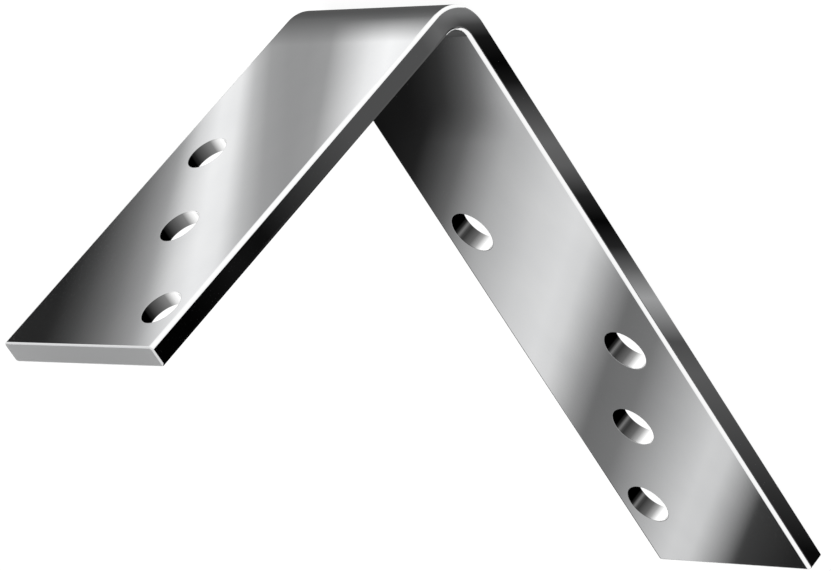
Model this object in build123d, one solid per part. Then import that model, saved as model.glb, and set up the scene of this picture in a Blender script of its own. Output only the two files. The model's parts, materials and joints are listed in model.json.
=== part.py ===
from build123d import *
import os

# Angle bracket for joining beams: one length of flat steel bar, punched and bent once.
# Millimetres. The origin is the sharp corner where the two outer faces would meet,
# at the middle of the bar's width. The long leg runs along +X on the ground,
# the short leg stands up +Z, and the bar's width lies along Y.

# Flat bar
bar_width = 45.0
bar_thickness = 5.0
bar_edge_radius = 0.8

# Legs, measured outside from the corner to the cut end
short_leg = 105.0
long_leg = 155.0
cut_edge_radius = 0.4

# Bend
bend_inner_radius = 4.0
bend_middle_radius = bend_inner_radius + bar_thickness / 2

# Screw holes in the short leg: the diameter, and then for each hole, from the cut end down,
# the distance of its centre from that end and from the long edge that it lies nearer to
short_hole_diameter = 8.5
short_end_hole_from_end = 11.0
short_end_hole_from_edge = 7.0
short_middle_hole_from_end = 34.0
short_inner_hole_from_end = 55.5
short_inner_hole_from_edge = 11.5

# Bolt holes in the long leg, measured the same way
long_hole_diameter = 10.0
long_end_hole_from_end = 17.0
long_end_hole_from_edge = 8.0
long_second_hole_from_end = 40.0
long_second_hole_from_edge = 19.0
long_third_hole_from_end = 62.0
long_third_hole_from_edge = 13.5
long_inner_hole_from_end = 94.5
long_inner_hole_from_edge = 8.5

# Soft lip that the punch leaves round each hole, on the face that it enters
hole_lip_radius = 0.2


def from_front_edge(distance):
    """Y of a hole that is measured from the bar's +Y edge."""
    return bar_width / 2 - distance


def from_back_edge(distance):
    """Y of a hole that is measured from the bar's -Y edge."""
    return distance - bar_width / 2


# Hole centres: the place along the leg from the corner, and the place across the bar.
# The two rows step from edge to edge, so that the fixings don't split one line of the grain.
short_hole_centres = [
    (short_leg - short_end_hole_from_end, from_front_edge(short_end_hole_from_edge)),
    (short_leg - short_middle_hole_from_end, 0.0),
    (short_leg - short_inner_hole_from_end, from_back_edge(short_inner_hole_from_edge)),
]
long_hole_centres = [
    (long_leg - long_end_hole_from_end, from_back_edge(long_end_hole_from_edge)),
    (long_leg - long_second_hole_from_end, from_back_edge(long_second_hole_from_edge)),
    (long_leg - long_third_hole_from_end, from_front_edge(long_third_hole_from_edge)),
    (long_leg - long_inner_hole_from_end, from_back_edge(long_inner_hole_from_edge)),
]

# Faces that the punch enters, each with its own x along the leg and y across the bar
short_outer_face = Plane(origin=(0, 0, 0), x_dir=(0, 0, 1), z_dir=(-1, 0, 0))
long_inner_face = Plane(origin=(0, 0, bar_thickness), x_dir=(1, 0, 0), z_dir=(0, 0, 1))


def bent_bar():
    """The plain bar: its rounded section carried down the short leg, round the bend and along the long leg."""
    with BuildPart() as bar:
        with BuildLine(Plane.XZ) as middle_line:
            FilletPolyline(
                (bar_thickness / 2, short_leg),
                (bar_thickness / 2, bar_thickness / 2),
                (long_leg, bar_thickness / 2),
                radius=bend_middle_radius,
            )
        cut_end = Plane(
            origin=(bar_thickness / 2, 0, short_leg), x_dir=(1, 0, 0), z_dir=(0, 0, -1)
        )
        with BuildSketch(cut_end):
            RectangleRounded(bar_thickness, bar_width, bar_edge_radius)
        sweep(path=middle_line.wires()[0])
    return bar.part


def punch(bracket, face, centres, diameter):
    """Holes through one leg, each straight and sharp where the punch leaves and soft where it enters."""
    with BuildSketch(face) as holes:
        with Locations(*centres):
            Circle(diameter / 2)
    extrude(holes.sketch, amount=-bar_thickness, mode=Mode.SUBTRACT)
    hole_edges = bracket.edges(Select.LAST).filter_by(GeomType.CIRCLE)
    entry_side = Axis(face.origin, face.z_dir)
    fillet(hole_edges.group_by(entry_side)[-1], radius=hole_lip_radius)


def angle_bracket():
    """The bent bar with its sheared ends eased and its two rows of holes punched."""
    with BuildPart() as bracket:
        add(bent_bar())
        short_end = bracket.faces().sort_by(Axis.Z)[-1]
        long_end = bracket.faces().sort_by(Axis.X)[-1]
        fillet(short_end.edges() + long_end.edges(), radius=cut_edge_radius)
        punch(bracket, short_outer_face, short_hole_centres, short_hole_diameter)
        punch(bracket, long_inner_face, long_hole_centres, long_hole_diameter)
    return bracket.part


os.makedirs("parts", exist_ok=True)
export_step(angle_bracket(), "parts/angle_bracket.step")
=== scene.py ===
import json
from math import cos, pi, radians, sin, sqrt

import bmesh
import bpy
from mathutils import Matrix, Vector


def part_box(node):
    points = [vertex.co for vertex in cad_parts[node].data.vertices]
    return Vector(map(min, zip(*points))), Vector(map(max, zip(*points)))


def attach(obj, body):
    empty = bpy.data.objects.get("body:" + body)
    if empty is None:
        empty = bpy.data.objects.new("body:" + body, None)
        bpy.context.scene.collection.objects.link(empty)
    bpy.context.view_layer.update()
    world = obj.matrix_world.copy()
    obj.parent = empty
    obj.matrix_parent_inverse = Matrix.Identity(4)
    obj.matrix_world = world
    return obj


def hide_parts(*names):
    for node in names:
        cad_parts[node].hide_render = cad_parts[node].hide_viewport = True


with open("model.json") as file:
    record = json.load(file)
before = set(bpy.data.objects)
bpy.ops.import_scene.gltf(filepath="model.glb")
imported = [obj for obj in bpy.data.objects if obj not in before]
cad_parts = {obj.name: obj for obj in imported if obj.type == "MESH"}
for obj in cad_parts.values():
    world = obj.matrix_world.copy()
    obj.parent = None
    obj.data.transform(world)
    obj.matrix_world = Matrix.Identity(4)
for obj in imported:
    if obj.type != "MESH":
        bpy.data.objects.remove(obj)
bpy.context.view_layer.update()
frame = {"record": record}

mm = 0.001

# Bar stock: rolled mild steel flat bar, 45 x 5 mm, with the long edges rounded by the rolls.
# It is sheared to length, and each cut end has its edges eased a little.
record = frame["record"]
places = {mount["name"]: mount for mount in record["mounts"]}
low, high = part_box("angle_bracket")
bar_width = high.y - low.y
bar_thickness = places["long_leg_inner_face"]["pos_m"][2]
half_width = bar_width / 2
half_thickness = bar_thickness / 2
bar_edge_radius = 0.8 * mm
cut_edge_radius = 0.4 * mm

# The bend: made once, cold, round a nose of 4 mm radius. The middle of the thickness keeps its
# length there, and that sets how long the flat blank is.
bend_inner_radius = 4 * mm
bend_middle_radius = bend_inner_radius + half_thickness
bend_outer_radius = bend_inner_radius + bar_thickness
bend_length = bend_middle_radius * pi / 2
short_straight = high.z - bend_outer_radius
long_straight = high.x - bend_outer_radius
blank_length = short_straight + bend_length + long_straight


def bent(along, across, depth):
    """Where a point of the flat blank lies once the bar is bent, and which way the blank's three
    directions then point. along is measured from the short leg's cut end, across from the middle of
    the width, and depth from the middle of the thickness towards the outside of the bend."""
    turn = min(max((along - short_straight) / bend_middle_radius, 0), pi / 2)
    along_way = Vector((sin(turn), 0, -cos(turn)))
    depth_way = Vector((-cos(turn), 0, -sin(turn)))
    bend_centre = Vector((bend_outer_radius, across, bend_outer_radius))
    from_bend = along - short_straight - bend_middle_radius * turn
    place = bend_centre + depth_way * (bend_middle_radius + depth) + along_way * from_bend
    return place, Matrix((along_way, (0, 1, 0), depth_way)).transposed()


# The flat blank: the bar's rounded section, set out from one sheared end to the other. Each point
# keeps how worn it is, with the painted highlight of its rounded edges, how cut or punched the steel
# is there, and which way its real surface faces.
edge_steps = 8
cut_steps = 6
bend_steps = 40
blank = bmesh.new()
edge_wear_and_highlight = blank.verts.layers.float.new("edge_wear_and_highlight")
hole_wall = blank.verts.layers.float.new("hole_wall")
wall_place = blank.verts.layers.float_vector.new("wall_place")
cut_end = blank.verts.layers.float.new("cut_end")
blank_facing = blank.verts.layers.float_vector.new("blank_facing")


def section_ring(along, inset, end_share):
    """The bar's rounded section at one place along the blank, pulled in by inset. end_share goes
    from 0 on the long sides to 1 on the far cut end, or -1 on the near one."""
    corner_radius = bar_edge_radius - inset
    side_share = sqrt(1 - end_share ** 2)
    ring = []
    for quarter, (side, face) in enumerate([(1, 1), (-1, 1), (-1, -1), (1, -1)]):
        centre_across = side * (half_width - bar_edge_radius)
        centre_depth = face * (half_thickness - bar_edge_radius)
        for step in range(edge_steps + 1):
            turn = (quarter + step / edge_steps) * pi / 2
            across = centre_across + corner_radius * cos(turn)
            depth = centre_depth + corner_radius * sin(turn)
            vertex = blank.verts.new((along, across, depth))
            # How worn the edge is here; its lighter colour also paints the edge's highlight.
            vertex[edge_wear_and_highlight] = sin(pi * step / edge_steps)
            vertex[cut_end] = abs(end_share)
            vertex[blank_facing] = (end_share, side_share * cos(turn), side_share * sin(turn))
            ring.append(vertex)
    return ring


near_end = []
for step in range(cut_steps + 1):
    turn = step / cut_steps * pi / 2
    near_end.append((cut_edge_radius * (1 - cos(turn)), cut_edge_radius * (1 - sin(turn)), -cos(turn)))
round_bend = [(short_straight + bend_length * step / bend_steps, 0, 0) for step in range(bend_steps + 1)]
far_end = [(blank_length - along, inset, -end_share) for along, inset, end_share in reversed(near_end)]
rings = [section_ring(*station) for station in near_end + round_bend + far_end]

# The skin between the rings. The four broad faces of the legs stay open for now: each is kept as a
# list of loops, first its outline and later the rims of its holes.
corner_points = edge_steps + 1
ring_points = 4 * corner_points
outer_face_side = corner_points - 1
inner_face_side = 3 * corner_points - 1
leg_spans = {cut_steps: "short", cut_steps + 1 + bend_steps: "long"}
face_loops = {}
for span, (ring, following) in enumerate(zip(rings, rings[1:])):
    for point in range(ring_points):
        beside = (point + 1) % ring_points
        corners = [ring[point], ring[beside], following[beside], following[point]]
        if span in leg_spans and point in (outer_face_side, inner_face_side):
            face_loops[leg_spans[span], point] = [corners]
        else:
            blank.faces.new(corners)
blank.faces.new(rings[0])
blank.faces.new(rings[-1])

# The holes: punched through the flat blank before it is bent, three for screws in the short leg and
# four for bolts in the long leg. The punch enters the short leg's outer face and the long leg's inner
# face, and leaves a fine soft lip there and a sharp edge where it comes out.
bores = [mount for mount in record["mounts"] if mount["kind"] == "bore"]
hole_steps = 96
lip_steps = 4
lip_radius = 0.2 * mm
lip_blend_share = 0.5
exit_break = 0.08 * mm
# How deep each leg's hole walls go before their painted pale band begins.
painted_pale_depth = {"short": 3.0 * mm, "long": 4.2 * mm}


def circle_on_blank(along, across, radius, depth, lean, wall_share, below_painted_pale):
    """One ring of a hole. lean is how far its surface faces up out of the blank rather than inwards,
    wall_share how much of the wall's colour, with its painted light and shade, it has, and
    below_painted_pale how far it is below the depth where the wall's painted pale band begins."""
    inwards = -sqrt(1 - lean ** 2)
    circle = []
    for step in range(hole_steps):
        turn = 2 * pi * step / hole_steps
        vertex = blank.verts.new((along + radius * cos(turn), across + radius * sin(turn), depth))
        vertex[blank_facing] = (inwards * cos(turn), inwards * sin(turn), lean)
        vertex[hole_wall] = wall_share
        vertex[wall_place] = (cos(turn), sin(turn), below_painted_pale / mm)
        circle.append(vertex)
    return circle


def punch_hole(along, across, radius, entry, painted_pale_from):
    """One punched hole. entry is 1 where the punch enters the outer face and -1 where it enters the
    inner face. Below the depth painted_pale_from the wall's colour is painted pale: painted light that
    stands in for the light seen through the hole."""
    circles = []
    for step in range(lip_steps + 1):
        turn = step / lip_steps * pi / 2
        lip_out = lip_radius * (1 - sin(turn))
        lip_down = lip_radius * (1 - cos(turn))
        depth = entry * (half_thickness - lip_down)
        wall_share = min(1, sin(turn) / lip_blend_share)
        circles.append(circle_on_blank(
            along, across, radius + lip_out, depth, entry * cos(turn), wall_share, lip_down - painted_pale_from))
    below_painted_pale = bar_thickness - painted_pale_from
    exit_depth = -entry * (half_thickness - exit_break)
    circles.append(circle_on_blank(along, across, radius, exit_depth, 0, 1, below_painted_pale))
    exit_depth = -entry * half_thickness
    circles.append(circle_on_blank(along, across, radius + exit_break, exit_depth, -entry, 0, below_painted_pale))
    for circle, deeper in zip(circles, circles[1:]):
        for step in range(hole_steps):
            beside = (step + 1) % hole_steps
            blank.faces.new([circle[step], circle[beside], deeper[beside], deeper[step]])
    return circles[0], circles[-1]


for bore in bores:
    x, y, z = bore["pos_m"]
    axis = Vector(bore["axis"])
    if abs(axis.x) > abs(axis.z):
        leg, along, entry = "short", high.z - z, 1
        entry_side, exit_side = outer_face_side, inner_face_side
    else:
        leg, along, entry = "long", short_straight + bend_length + x - bend_outer_radius, -1
        entry_side, exit_side = inner_face_side, outer_face_side
    entry_rim, exit_rim = punch_hole(along, y, bore["dims"]["r_mm"] * mm, entry, painted_pale_depth[leg])
    face_loops[leg, entry_side].append(entry_rim)
    face_loops[leg, exit_side].append(exit_rim)

for (leg, side), loops in face_loops.items():
    outline_edges = []
    for loop in loops:
        for vertex, neighbour in zip(loop, loop[1:] + loop[:1]):
            edge = blank.edges.get((vertex, neighbour)) or blank.edges.new((vertex, neighbour))
            outline_edges.append(edge)
    facing = Vector((0, 0, 1 if side == outer_face_side else -1))
    bmesh.ops.triangle_fill(blank, edges=outline_edges, use_beauty=True, normal=facing)

# Bending: every point of the punched blank goes to its place on the bent bar. The blank's own
# coordinates stay on the mesh, so that the rolling grain follows the bar round the bend.
blank_place = blank.verts.layers.float_vector.new("blank_place")
facings = []
for vertex in blank.verts:
    vertex[blank_place] = vertex.co / mm
    vertex.co, directions = bent(*vertex.co)
    facings.append(directions @ vertex[blank_facing])
blank.normal_update()
bmesh.ops.recalc_face_normals(blank, faces=blank.faces)
for face in blank.faces:
    face.smooth = True
bracket_mesh = bpy.data.meshes.new("steel_bracket")
blank.to_mesh(bracket_mesh)
blank.free()
bracket_mesh.normals_split_custom_set_from_vertices(facings)
bracket = bpy.data.objects.new("steel_bracket", bracket_mesh)
bpy.context.scene.collection.objects.link(bracket)

# The finish: bright plating over the rolled steel. It keeps the fine grain of the rolls along the bar,
# is a little cloudy, and is rubbed brighter on the long edges, where the lighter colour is also a
# painted highlight along each rounded edge. The sheared ends are duller.
plated_steel = bpy.data.materials.new("plated_steel")
plated_steel.use_nodes = True
steel = plated_steel.node_tree
surface = steel.nodes["Principled BSDF"]
surface.inputs["Metallic"].default_value = 1.0
plating_light = (0.80, 0.805, 0.81)
plating_cloudy = (0.76, 0.767, 0.775)
# Rubbed edges, lighter also as a painted highlight along them.
worn_and_highlight_bright = (0.98, 0.98, 0.98)
cut_steel = (0.66, 0.665, 0.67)
light_roughness = 0.05
cloudy_roughness = 0.06
cut_steel_roughness = 0.3
grain_strength = 0.03
grain_height = 0.02 * mm


def kept_on_mesh(name, output):
    """What the mesh keeps at its points under a name: a share as Fac, or a place as Vector."""
    kept = steel.nodes.new("ShaderNodeAttribute")
    kept.attribute_name = name
    return kept.outputs[output]


place_on_blank = kept_on_mesh("blank_place", "Vector")


def stretched_noise(along, across, detail, offset):
    """Noise on the blank, with its own number of lumps per millimetre along and across the bar."""
    spread = steel.nodes.new("ShaderNodeMapping")
    spread.inputs["Scale"].default_value = (along, across, across)
    spread.inputs["Location"].default_value = (offset, offset, 0)
    steel.links.new(place_on_blank, spread.inputs["Vector"])
    noise = steel.nodes.new("ShaderNodeTexNoise")
    noise.inputs["Scale"].default_value = 1.0
    noise.inputs["Detail"].default_value = detail
    steel.links.new(spread.outputs["Vector"], noise.inputs["Vector"])
    return noise.outputs["Fac"]


def share_of_range(tree, value, first, last):
    """0 where value is at first or before it, 1 at last or past it, and in proportion between."""
    spread = tree.nodes.new("ShaderNodeMapRange")
    spread.inputs["From Min"].default_value = first
    spread.inputs["From Max"].default_value = last
    tree.links.new(value, spread.inputs["Value"])
    return spread.outputs["Result"]


def multiplied(first, second):
    """Two shares as one: full only where both are."""
    product = steel.nodes.new("ShaderNodeMath")
    product.operation = "MULTIPLY"
    steel.links.new(first, product.inputs[0])
    steel.links.new(second, product.inputs[1])
    return product.outputs["Value"]


def blend_values(share, first, second):
    """A number that goes from first to second as share goes from 0 to 1."""
    mix = steel.nodes.new("ShaderNodeMix")
    for socket, value in (("Factor", share), ("A", first), ("B", second)):
        if isinstance(value, bpy.types.NodeSocket):
            steel.links.new(value, mix.inputs[socket])
        else:
            mix.inputs[socket].default_value = value
    return mix.outputs["Result"]


def blend_colours(share, first, second):
    """A colour that goes from first to second as share goes from 0 to 1."""
    mix = steel.nodes.new("ShaderNodeMix")
    mix.data_type = "RGBA"
    steel.links.new(share, mix.inputs["Factor"])
    for socket, value in (("A", first), ("B", second)):
        target = [i for i in mix.inputs if i.type == "RGBA" and i.name == socket][0]
        if isinstance(value, bpy.types.NodeSocket):
            steel.links.new(value, target)
        else:
            target.default_value = (*value, 1)
    return [o for o in mix.outputs if o.type == "RGBA"][0]


cloud_noise = stretched_noise(along=0.05, across=0.07, detail=3, offset=11.0)
cloud = share_of_range(steel, cloud_noise, 0.3, 0.7)
scuff_noise = stretched_noise(along=0.9, across=1.3, detail=5, offset=27.0)
scuffs = share_of_range(steel, scuff_noise, -1.2, 0.6)
# Edge wear and painted highlight: the rounded long edges are lighter.
wear_and_highlight_mask = multiplied(kept_on_mesh("edge_wear_and_highlight", "Fac"), scuffs)
plating = blend_colours(cloud, plating_cloudy, plating_light)
worn_and_highlit_plating = blend_colours(wear_and_highlight_mask, plating, worn_and_highlight_bright)
plating_roughness = blend_values(cloud, cloudy_roughness, light_roughness)

grain_bump = steel.nodes.new("ShaderNodeBump")
grain_bump.inputs["Strength"].default_value = grain_strength
grain_bump.inputs["Distance"].default_value = grain_height
rolled_grain = stretched_noise(along=0.04, across=2.6, detail=3, offset=3.0)
steel.links.new(rolled_grain, grain_bump.inputs["Height"])
steel.links.new(grain_bump.outputs["Normal"], surface.inputs["Normal"])

# The holes' walls: duller than the plating, with streaks in the direction of the cut. Their colour is
# painted light and shade: each wall is painted bright on one side and dark on the other, as light falls
# into the hole, and pale all round near the far face, painted light that stands in for the light seen
# through the hole.
through_hole_painted_light = (1.0, 1.0, 1.0)
plain_tint = (1.0, 1.0, 1.0)
through_hole_light_blur = 0.06
wall_roughness_least = 0.12
wall_roughness_most = 0.25

# A wall's tones are greys of painted light and shade at places round the hole, in degrees from the way
# along the blank. The bolt holes' walls have one painted highlight, a bright streak, on the dark side.
bolt_hole_painted_light = [
    (-180, 0.05), (-155, 0.0), (-95, 0.001), (-86, 0.02), (-79, 0.16), (-72, 0.05), (-66, 0.035),
    (-45, 0.12), (-30, 0.35), (-12, 1.0), (40, 1.0), (75, 0.2), (180, 0.05)]
screw_hole_painted_light = [
    (-180, 0.05), (-150, 0.0), (-110, 0.0), (-90, 0.015), (-60, 0.1), (-35, 0.2), (-15, 0.72),
    (5, 1.0), (40, 1.0), (75, 0.3), (180, 0.05)]


def tone_ramp(tree, share, tones):
    """Greys that go from tone to tone as share goes from 0 to 1 over the places of the tones."""
    first, last = tones[0][0], tones[-1][0]
    ramp = tree.nodes.new("ShaderNodeValToRGB")
    stops = ramp.color_ramp.elements
    while len(stops) < len(tones):
        stops.new(1.0)
    for stop, (place, tone) in zip(stops, tones):
        stop.position = (place - first) / (last - first)
        stop.color = (tone, tone, tone, 1)
    tree.links.new(share, ramp.inputs["Fac"])
    return ramp.outputs["Color"]


def split_axes(tree, vector):
    """The three numbers of a vector, as outputs X, Y and Z."""
    axes = tree.nodes.new("ShaderNodeSeparateXYZ")
    tree.links.new(vector, axes.inputs["Vector"])
    return axes.outputs


def angle_of(tree, axes):
    """The angle in radians, from X towards Y, of the way that two of those outputs point."""
    angle = tree.nodes.new("ShaderNodeMath")
    angle.operation = "ARCTAN2"
    tree.links.new(axes["Y"], angle.inputs[0])
    tree.links.new(axes["X"], angle.inputs[1])
    return angle.outputs["Value"]


bend_start = short_straight / mm
bend_end = (short_straight + bend_length) / mm
on_long_leg = share_of_range(steel, split_axes(steel, place_on_blank)["X"], bend_start, bend_end)
wall_axes = split_axes(steel, kept_on_mesh("wall_place", "Vector"))
round_the_wall = share_of_range(steel, angle_of(steel, wall_axes), -pi, pi)
# Painted light and shade round each hole's wall, by its place round the hole.
screw_hole_painted_shade = tone_ramp(steel, round_the_wall, screw_hole_painted_light)
bolt_hole_painted_shade = tone_ramp(steel, round_the_wall, bolt_hole_painted_light)
wall_painted_light_and_shade = blend_colours(on_long_leg, screw_hole_painted_shade, bolt_hole_painted_shade)
# Painted light near the far face, standing in for the light seen through the hole.
through_hole_light_mask = share_of_range(steel, wall_axes["Z"], -through_hole_light_blur, through_hole_light_blur)
wall_colour = blend_colours(through_hole_light_mask, wall_painted_light_and_shade, through_hole_painted_light)
wall_streaks = stretched_noise(along=2.4, across=0.25, detail=3, offset=41.0)
wall_roughness = blend_values(wall_streaks, wall_roughness_least, wall_roughness_most)

wall_mask = kept_on_mesh("hole_wall", "Fac")
end_mask = kept_on_mesh("cut_end", "Fac")
colour = blend_colours(end_mask, blend_colours(wall_mask, worn_and_highlit_plating, wall_colour), cut_steel)
roughness = blend_values(wall_mask, plating_roughness, wall_roughness)
roughness = blend_values(end_mask, roughness, cut_steel_roughness)
# The walls' painted light and shade also tint their reflections.
tint = blend_colours(wall_mask, plain_tint, wall_colour)
steel.links.new(colour, surface.inputs["Base Color"])
steel.links.new(roughness, surface.inputs["Roughness"])
steel.links.new(tint, surface.inputs["Specular Tint"])

bracket_mesh.materials.append(plated_steel)
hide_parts("angle_bracket")
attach(bracket, "root")

# The camera: it looks at the bracket from the short leg's side, above the long leg, and is rolled so
# that the bend is at the top of the picture, as in the photograph.
camera_place = Vector((-0.4242, 0.7740, 0.5453))
camera_aim = Vector((0.0496, 0.0, 0.0332))
camera_roll = radians(-140.31)
camera_data = bpy.data.cameras.new("photo_camera")
camera_data.sensor_width = 36
camera_data.lens = 225.2
camera = bpy.data.objects.new("photo_camera", camera_data)
bpy.context.scene.collection.objects.link(camera)
towards_aim = (camera_aim - camera_place).to_track_quat("-Z", "Y").to_matrix().to_4x4()
rolled = Matrix.Rotation(camera_roll, 4, "Z")
camera.matrix_world = Matrix.Translation(camera_place) @ towards_aim @ rolled
bpy.context.scene.camera = camera

# The floor: a wide white sheet under the bracket. It takes the bracket's soft shadow, and shows
# white to the camera and in the metal.
floor_half = 6.0
floor_height = -0.3 * mm
floor_shade = 0.12
floor_glow = 0.92


def oblong(x_from, x_to, y_from, y_to):
    """The corners (x, y) of a sheet cut square."""
    return [(x_from, y_from), (x_to, y_from), (x_to, y_to), (x_from, y_to)]


def laid_level(outline, height):
    """An outline's corners (x, y), all at one height."""
    return [(x, y, height) for x, y in outline]


floor_mesh = bpy.data.meshes.new("studio_floor")
floor_corners = laid_level(oblong(-floor_half, floor_half, -floor_half, floor_half), floor_height)
floor_mesh.from_pydata(floor_corners, [], [(0, 1, 2, 3)])
floor = bpy.data.objects.new("studio_floor", floor_mesh)
bpy.context.scene.collection.objects.link(floor)


def rays_that_see_white(tree):
    """1 for the rays that look at a surface or reflect it, 0 for those that only light the scene."""
    path = tree.nodes.new("ShaderNodeLightPath")
    total = path.outputs["Is Camera Ray"]
    for kind in ("Is Glossy Ray", "Is Transmission Ray"):
        added = tree.nodes.new("ShaderNodeMath")
        added.operation = "MAXIMUM"
        tree.links.new(total, added.inputs[0])
        tree.links.new(path.outputs[kind], added.inputs[1])
        total = added.outputs["Value"]
    return total


floor_paper = bpy.data.materials.new("floor_paper")
floor_paper.use_nodes = True
floor_mesh.materials.append(floor_paper)
paper = floor_paper.node_tree
paper.nodes.clear()
paper_diffuse = paper.nodes.new("ShaderNodeBsdfDiffuse")
paper_diffuse.inputs["Color"].default_value = (floor_shade, floor_shade, floor_shade, 1)
glow_level = paper.nodes.new("ShaderNodeMath")
glow_level.operation = "MULTIPLY"
glow_level.inputs[1].default_value = floor_glow
paper.links.new(rays_that_see_white(paper), glow_level.inputs[0])
paper_glow = paper.nodes.new("ShaderNodeEmission")
paper.links.new(glow_level.outputs["Value"], paper_glow.inputs["Strength"])
paper_both = paper.nodes.new("ShaderNodeAddShader")
paper.links.new(paper_diffuse.outputs["BSDF"], paper_both.inputs[0])
paper.links.new(paper_glow.outputs["Emission"], paper_both.inputs[1])
paper_out = paper.nodes.new("ShaderNodeOutputMaterial")
paper.links.new(paper_both.outputs["Shader"], paper_out.inputs["Surface"])

# The studio round it: white on every side, with one large soft lamp overhead. The lamp lights the
# floor for the soft shadow, and isn't mirrored in the metal.
world = bpy.data.worlds.new("white_studio")
world.use_nodes = True
bpy.context.scene.world = world
surround = world.node_tree.nodes["Background"]
surround.inputs["Color"].default_value = (1, 1, 1, 1)
surround.inputs["Strength"].default_value = 1.0
bpy.context.scene.view_settings.view_transform = "Standard"

lamp_side = 0.8
lamp_power = 3
lamp_place = Vector((-0.2, 0.3, 1.2))
lamp_aim = Vector((0.05, 0, 0))
lamp_data = bpy.data.lights.new("soft_lamp", "AREA")
lamp_data.shape = "RECTANGLE"
lamp_data.size = lamp_side
lamp_data.size_y = lamp_side
lamp_data.energy = lamp_power
lamp = bpy.data.objects.new("soft_lamp", lamp_data)
lamp.location = lamp_place
lamp.rotation_euler = (lamp_aim - lamp_place).to_track_quat("-Z", "Y").to_euler()
lamp.visible_glossy = False
bpy.context.scene.collection.objects.link(lamp)

# Graduated cards: sheets with soft bands from dark to light that lie and stand round the bracket.
# Polished metal shows only what it mirrors, and these give its faces their bands. Only reflections
# see them. Their places are in mm from the bracket's corner.


def share_along(tree, way, first, last):
    """0 to 1 as a place on a card goes from first to last: in mm along a direction (x, y, z), or in
    degrees round a point (x, y) on the floor."""
    where = tree.nodes.new("ShaderNodeNewGeometry").outputs["Position"]
    if len(way) == 3:
        measure = tree.nodes.new("ShaderNodeVectorMath")
        measure.operation = "DOT_PRODUCT"
        measure.inputs[1].default_value = Vector(way).normalized()
        tree.links.new(where, measure.inputs[0])
        return share_of_range(tree, measure.outputs["Value"], first * mm, last * mm)
    from_point = tree.nodes.new("ShaderNodeVectorMath")
    from_point.operation = "SUBTRACT"
    from_point.inputs[1].default_value = Vector((*way, 0)) * mm
    tree.links.new(where, from_point.inputs[0])
    angle = angle_of(tree, split_axes(tree, from_point.outputs["Vector"]))
    return share_of_range(tree, angle, radians(first), radians(last))


def graduated_card(name, corners, way, tones, fade=None, faces=None):
    """A card with its corners in mm. tones is its brightness at places along a way, which is a direction
    or a point, as for share_along. fade is another way, and on it the place where the card is clear
    and the place where it is full."""
    mesh = bpy.data.meshes.new(name)
    points = [Vector(corner) * mm for corner in corners]
    mesh.from_pydata(points, [], faces or [tuple(range(len(points)))])
    card = bpy.data.objects.new(name, mesh)
    bpy.context.scene.collection.objects.link(card)
    card.visible_camera = False
    card.visible_diffuse = False
    card.visible_transmission = False
    card.visible_shadow = False
    material = bpy.data.materials.new(name)
    material.use_nodes = True
    mesh.materials.append(material)
    tree = material.node_tree
    tree.nodes.clear()
    glow = tree.nodes.new("ShaderNodeEmission")
    bands = tone_ramp(tree, share_along(tree, way, tones[0][0], tones[-1][0]), tones)
    tree.links.new(bands, glow.inputs["Color"])
    shown = glow.outputs["Emission"]
    if fade:
        clear = tree.nodes.new("ShaderNodeBsdfTransparent")
        both = tree.nodes.new("ShaderNodeMixShader")
        tree.links.new(share_along(tree, *fade), both.inputs["Fac"])
        tree.links.new(clear.outputs["BSDF"], both.inputs[1])
        tree.links.new(shown, both.inputs[2])
        shown = both.outputs["Shader"]
    out = tree.nodes.new("ShaderNodeOutputMaterial")
    tree.links.new(shown, out.inputs["Surface"])


# Two graduated cards under the short leg's outer face: its mirror image on the floor, a little wider
# all round. The bands of the first fan out from a point on the floor beside the long leg, and those
# of the second, which is smaller and near the bend, run straight.
first_sheet = -0.2
second_sheet = -0.15
fan_point = (78, 34)


def level_way(degrees):
    """A level direction, by its angle from the way that the long leg points."""
    return cos(radians(degrees)), sin(radians(degrees)), 0


graduated_card(
    "card_short_leg_face",
    laid_level([(-2, -48), (-2, 16), (-12, 10), (-102, -142), (-190, -290), (-190, -400)], first_sheet),
    fan_point,
    [(-150, 0.37), (-141, 0.37), (-139, 0.42), (-137.5, 0.62), (-136.2, 1.01), (-134.8, 1.07),
     (-133.4, 0.82), (-132.2, 0.4), (-130.5, 0.19), (-129, 0.075), (-127.8, 0.023), (-122, 0.03)])
graduated_card(
    "card_short_leg_near_bend",
    laid_level([(-2, -23), (-2, 16), (-12, 10), (-71, -89)], second_sheet),
    level_way(134),
    [(-16, 0.36), (-10, 0.4), (-1, 1.02), (3, 1.16), (10, 1.05)])

# A graduated card under the heel, for the outside of the bend. Its dark tones are a painted shadow:
# they stand in for the bracket's contact shadow on the floor, as the bend mirrors it. It lies over the
# short leg's cards, and fades away where they take over.
third_sheet = -0.1
along_x = (1, 0, 0)
graduated_card(
    "card_heel_painted_shadow", laid_level(oblong(-16, 10, -60, 18), third_sheet),
    along_x, [(-16, 0.17), (-7, 0.17), (-3, 0.125), (0, 0.105), (10, 0.102)],
    fade=(along_x, -13.5, -7.3))

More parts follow.
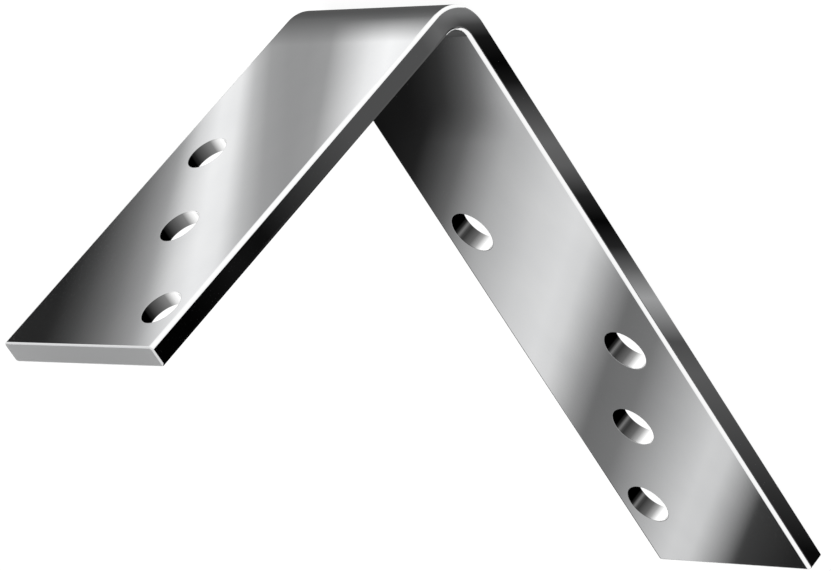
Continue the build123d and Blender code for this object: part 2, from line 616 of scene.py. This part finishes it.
# Two graduated cards over the far side of the long leg, for its inner face: one for the whole face,
# and one just under it, with its bands at another slope, that fades in towards the bend.
cards_far_side = -160
cards_far_end = 290
over_long_leg = 70
near_bend_card_drop = 0.5
graduated_card(
    "card_long_leg_face",
    laid_level(oblong(30, cards_far_end, cards_far_side, -52), over_long_leg),
    level_way(44),
    [(-20, 0.006), (-8, 0.017), (-3, 0.07), (2, 0.15), (12, 0.5), (24, 0.76), (33, 0.88), (38, 0.81),
     (46, 0.37), (51, 0.18), (60, 0.22), (81, 0.77), (86, 0.74), (97, 0.055), (110, 0.022)])
graduated_card(
    "card_long_leg_near_bend",
    laid_level(oblong(30, 92, cards_far_side, -52), over_long_leg - near_bend_card_drop),
    level_way(60),
    [(-48, 0.01), (-43, 0.018), (-37.5, 0.036), (-33, 0.085), (-30, 0.13), (-26.5, 0.22),
     (-23, 0.37), (-18, 0.6)],
    fade=(along_x, 91, 79))

# Two graduated cards for the long leg's far edge and the edge of its cut end: one stands on the far
# side of the leg, and one lies on the floor there and past its end.
graduated_card(
    "card_far_edge",
    [(20, cards_far_side, 0), (cards_far_end, cards_far_side, 0),
     (cards_far_end, cards_far_side, over_long_leg), (20, cards_far_side, over_long_leg)],
    along_x, [(20, 0.1), (180, 0.08), (215, 0.01), (290, 0.01)])
graduated_card(
    "card_far_floor",
    laid_level(
        [(6, -23), (158, -23), (158, 20), (240, 20), (cards_far_end, cards_far_side),
         (6, cards_far_side)], first_sheet),
    along_x, [(6, 0.1), (105, 0.08), (140, 0.01), (165, 0.01), (190, 0.06), (290, 0.06)])

# A graduated card rolled to lie just inside the bend, for its hollow. Its dark tone is painted shade
# in the hollow of the bend, as the hollow mirrors it. It keeps clear of the metal all over, and ends a
# little short of the bar's two long edges.
card_clearance = 0.3
hollow_steps = 12
hollow_edge_margin = 1.0
hollow_centre = bend_outer_radius / mm
hollow_radius = bend_inner_radius / mm - card_clearance
hollow_half_width = half_width / mm - hollow_edge_margin
hollow_corners = []
for step in range(hollow_steps + 1):
    turn = step / hollow_steps * pi / 2
    x = hollow_centre - hollow_radius * cos(turn)
    z = hollow_centre - hollow_radius * sin(turn)
    hollow_corners += [(x, -hollow_half_width, z), (x, hollow_half_width, z)]
hollow_faces = [(near, near + 1, near + 3, near + 2) for near in range(0, 2 * hollow_steps, 2)]
graduated_card(
    "card_bend_hollow_painted_shade", hollow_corners, along_x, [(5, 0.105), (7.5, 0.1), (9, 0.08)],
    faces=hollow_faces)

# A graduated card on the floor beside the long leg, for its narrow side. It fades away outwards.
along_y = (0, 1, 0)
graduated_card(
    "card_long_leg_side", laid_level(oblong(4, 175, 22.7, 38), second_sheet),
    along_x,
    [(4, 0.26), (7, 0.21), (10, 0.06), (13, 0.01), (20, 0.002), (25, 0.01), (41, 0.155), (47, 0.13),
     (55, 0.02), (62, 0.002), (69, 0.02), (75, 0.14), (83, 0.42), (95, 0.09), (104, 0.12),
     (137, 0.035), (155, 0.004)],
    fade=(along_y, 38, 30))

# Two graduated cards for the short leg's narrow side and the edge behind it: one lies on the floor in
# front of that side, and one stands close inside the leg, from the bend to the cut end.
graduated_card(
    "card_short_leg_side",
    laid_level([(4, 23), (300, 23), (600, 700), (215, 700), (58, 150), (8, 51), (2, 36)], first_sheet),
    along_y,
    [(28, 0.28), (36, 0.18), (45, 0.1), (84, 0.09), (100, 0.06), (117, 0.031), (126, 0.016),
     (135, 0.005), (153, 0.008), (163, 0.004), (180, 0.001)])
upwards = (0, 0, 1)
inside_leg = bar_thickness / mm + card_clearance
strip_back = 21.5
strip_front = 23.4
strip_foot = bend_outer_radius / mm
strip_top = high.z / mm
graduated_card(
    "card_short_leg_inner_edge",
    [(inside_leg, strip_back, strip_foot), (inside_leg, strip_front, strip_foot),
     (inside_leg, strip_front, strip_top), (inside_leg, strip_back, strip_top)],
    upwards, [(9, 0.1), (38, 0.085), (56, 0.03), (75, 0.008), (105, 0.0)])

# A plain grey card over the short leg, for its cut end.
over_short_leg = 130
cut_end_tone = 0.4
graduated_card(
    "card_short_leg_end", laid_level(oblong(8, 48, -84, -2), over_short_leg),
    along_x, [(8, cut_end_tone), (48, cut_end_tone)])

# A glowing white roll in each hole, seen only in reflections, for its wall: painted light that the
# wall mirrors, so that the wall's painted light and shade show at full strength. It is as long as the
# straight part of the wall and a little narrower.
roll_sides = 24
roll_fit = 0.97
roll_glow = 1.1
for bore in bores:
    middle = Vector(bore["pos_m"]) / mm
    axis = Vector(bore["axis"])
    radius = roll_fit * bore["dims"]["r_mm"]
    half_length = axis * bore["dims"]["length_mm"] / 2
    roll_corners = []
    for step in range(roll_sides):
        turn = 2 * pi * step / roll_sides
        out = Vector((axis.z * cos(turn), sin(turn), axis.x * cos(turn))) * radius
        roll_corners += [middle + out - half_length, middle + out + half_length]
    roll_faces = []
    for near in range(0, 2 * roll_sides, 2):
        beside = (near + 2) % (2 * roll_sides)
        roll_faces.append((near, near + 1, beside + 1, beside))
    graduated_card(
        "card_" + bore["name"], roll_corners, along_x, [(0, roll_glow), (1, roll_glow)],
        faces=roll_faces)
